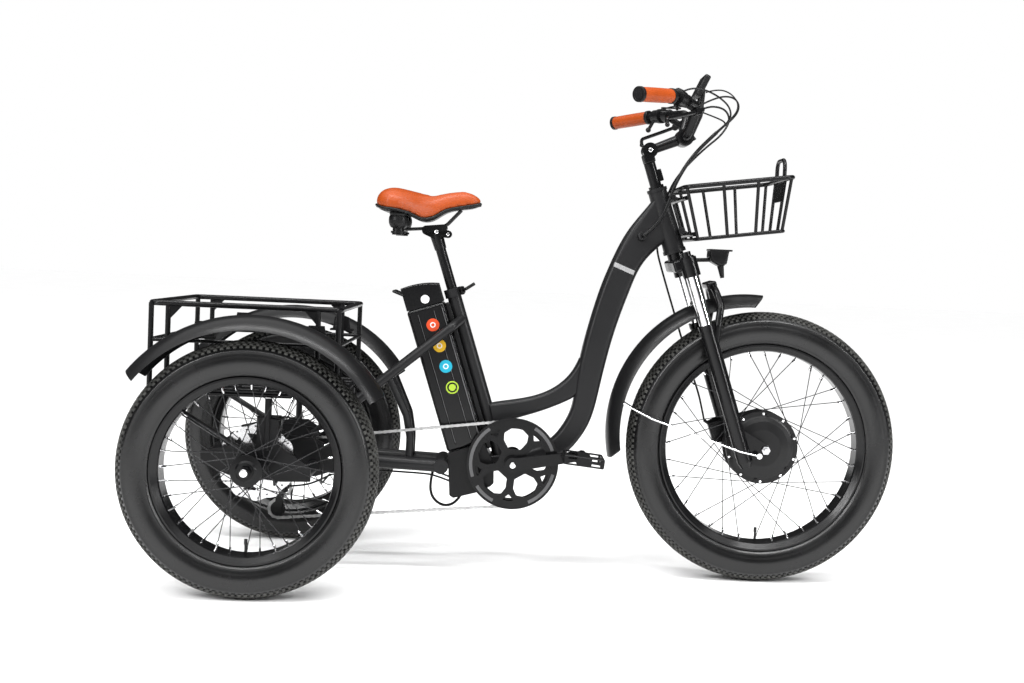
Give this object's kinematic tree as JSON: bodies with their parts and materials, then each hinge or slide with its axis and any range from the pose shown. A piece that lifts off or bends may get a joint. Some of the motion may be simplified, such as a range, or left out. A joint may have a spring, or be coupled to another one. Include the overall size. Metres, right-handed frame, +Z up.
{
  "type": "adult tricycle",
  "caption": "Step-through electric adult tricycle with fat tyres, front hub motor, removable battery behind the seat tube, sprung orange saddle and two wire baskets.",
  "frame": {"origin": "middle of the footprint box, on the ground under the tyres", "axes": "+X forward, +Y to the rider's left, +Z up"},
  "size_m": [1.8469, 0.756, 1.2619],
  "materials": {
    "tyre": "knobbly rubber",
    "rim": "dark satin",
    "spoke": "dark, bright nipples",
    "motor": "satin black",
    "rotor": "ground steel",
    "axle_steel": "plain steel",
    "cog": "dark steel",
    "frame_paint": "satin black paint",
    "fork_paint": "satin black paint",
    "stanchion": "polished",
    "black_metal": "satin black",
    "fender": "satin black",
    "wire": "bright wire",
    "lamp": "black with a clear lens",
    "grip": "stitched orange",
    "display": "black",
    "plastic": "black",
    "rubber": "black",
    "battery": "black with grooves",
    "lock": "bright",
    "chain": "bright links",
    "crank": "satin black",
    "guard": "satin black with a grey ring line",
    "pad": "orange",
    "post": "black with bright bolts"
  },
  "bodies": {
    "frame": {"front_frame": "frame_paint", "lower_frame": "frame_paint", "rear_stays": "frame_paint", "axle_carrier": "frame_paint", "rear_basket": "black_metal", "rear_fender_right": "fender", "rear_fender_left": "fender", "battery_cradle": "plastic", "front_basket": "black_metal", "rear_caliper": "black_metal", "derailleur_body": "black_metal", "chain": "chain", "frame_cables": "rubber"},
    "battery": {"battery_case": "battery", "battery_caps": "battery"},
    "handle": {"battery_handle": "plastic"},
    "lock": {"battery_lock": "lock"},
    "steering": {"fork_crown": "fork_paint", "stanchions": "stanchion", "stem_quill": "black_metal", "headlight": "lamp", "steering_cables": "rubber"},
    "stem": {"stem_arm": "black_metal", "handlebar": "black_metal", "grips": "grip", "display": "display", "bar_controls": "plastic"},
    "lever_right": {"brake_lever_right": "black_metal"},
    "lever_left": {"brake_lever_left": "black_metal"},
    "shifter": {"shift_lever": "plastic"},
    "throttle": {"throttle_lever": "plastic"},
    "lowers": {"fork_lowers": "fork_paint", "front_fender": "fender", "fender_stays": "wire", "front_caliper": "black_metal", "front_axle": "axle_steel"},
    "front_wheel": {"front_tyre": "tyre", "front_rim": "rim", "front_spokes": "spoke", "hub_motor": "motor", "front_rotor": "rotor"},
    "right_wheel": {"right_tyre": "tyre", "right_rim": "rim", "right_spokes": "spoke", "right_axle": "axle_steel", "cassette": "cog", "rear_rotor": "rotor"},
    "left_wheel": {"left_tyre": "tyre", "left_rim": "rim", "left_spokes": "spoke", "left_axle": "axle_steel"},
    "crank": {"crank_arms": "crank", "chainring": "guard"},
    "right_pedal": {"pedal_right": "plastic"},
    "left_pedal": {"pedal_left": "plastic"},
    "cage": {"derailleur_cage": "black_metal"},
    "seat": {"seatpost": "post", "saddle_base": "plastic", "saddle_pad": "pad"},
    "clamp_lever": {"seat_lever": "black_metal"}
  },
  "joints": [
    {"name": "steering", "type": "hinge", "parent": "frame", "child": "steering", "pos_m": [0.32004, 0, 0.88546], "axis": [-0.3223, 0, 0.9466], "range_deg": [-45, 45], "deforming": ["steering_cables"]},
    {"name": "fork_travel", "type": "slide", "parent": "steering", "child": "lowers", "axis": [-0.3223, 0, 0.9466], "range_m": [0, 0.035], "stiffness_N_per_m": 15000, "springref_m": -0.06},
    {"name": "front_wheel_spin", "type": "hinge", "parent": "lowers", "child": "front_wheel", "pos_m": [0.5825, 0, 0.341], "axis": [0, 1, 0], "continuous": true},
    {"name": "stem_tilt", "type": "hinge", "parent": "steering", "child": "stem", "pos_m": [0.2663, 0, 1.0703], "axis": [0, 1, 0], "range_deg": [-20, 30]},
    {"name": "brake_right_pull", "type": "hinge", "parent": "stem", "child": "lever_right", "pos_m": [0.3545, -0.168, 1.152], "axis": [-0.6728, 0.6781, -0.2957], "range_deg": [0, 13], "stiffness_Nm_per_rad": 1},
    {"name": "brake_left_pull", "type": "hinge", "parent": "stem", "child": "lever_left", "pos_m": [0.3545, 0.168, 1.152], "axis": [0.6728, 0.6781, 0.2957], "range_deg": [0, 13], "stiffness_Nm_per_rad": 1},
    {"name": "shift_push", "type": "hinge", "parent": "stem", "child": "shifter", "pos_m": [0.30494, -0.194, 1.15842], "axis": [0, 0, 1], "range_deg": [-10, 25], "stiffness_Nm_per_rad": 0.3},
    {"name": "throttle_twist", "type": "hinge", "parent": "stem", "child": "throttle", "pos_m": [0.30996, 0.19233, 1.17931], "axis": [-0.4815, 0.876, 0.0267], "range_deg": [0, 35], "stiffness_Nm_per_rad": 0.3},
    {"name": "right_wheel_spin", "type": "hinge", "parent": "frame", "child": "right_wheel", "pos_m": [-0.6335, -0.32, 0.29], "axis": [0, 1, 0], "continuous": true},
    {"name": "left_wheel_spin", "type": "hinge", "parent": "frame", "child": "left_wheel", "pos_m": [-0.6335, 0.32, 0.29], "axis": [0, 1, 0], "continuous": true},
    {"name": "crank_spin", "type": "hinge", "parent": "frame", "child": "crank", "pos_m": [-0.0415, 0, 0.284], "axis": [0, 1, 0], "continuous": true},
    {"name": "pedal_right_spin", "type": "hinge", "parent": "crank", "child": "right_pedal", "pos_m": [0.12607, -0.14, 0.31264], "axis": [0, 1, 0], "continuous": true},
    {"name": "pedal_left_spin", "type": "hinge", "parent": "crank", "child": "left_pedal", "pos_m": [-0.20907, 0.14, 0.25536], "axis": [0, 1, 0], "continuous": true},
    {"name": "cage_swing", "type": "hinge", "parent": "frame", "child": "cage", "pos_m": [-0.5995, -0.062, 0.205], "axis": [0, 1, 0], "range_deg": [-15, 15], "stiffness_Nm_per_rad": 0.6, "deforming": ["chain"]},
    {"name": "seat_height", "type": "slide", "parent": "frame", "child": "seat", "axis": [-0.3156, 0, 0.9489], "range_m": [-0.02, 0.12]},
    {"name": "seat_clamp_lever", "type": "hinge", "parent": "frame", "child": "clamp_lever", "pos_m": [-0.183, -0.0215, 0.70244], "axis": [0.3156, 0, -0.9489], "range_deg": [0, 120]},
    {"name": "battery_slide", "type": "slide", "parent": "frame", "child": "battery", "axis": [-0.3156, 0, 0.9489], "range_m": [0, 0.1]},
    {"name": "battery_key", "type": "hinge", "parent": "battery", "child": "lock", "pos_m": [-0.2725, -0.036, 0.677], "axis": [0, 1, 0], "range_deg": [0, 90]},
    {"name": "battery_handle_lift", "type": "hinge", "parent": "battery", "child": "handle", "pos_m": [-0.3265, 0, 0.684], "axis": [0, 1, 0], "range_deg": [0, 70]}
  ]
}
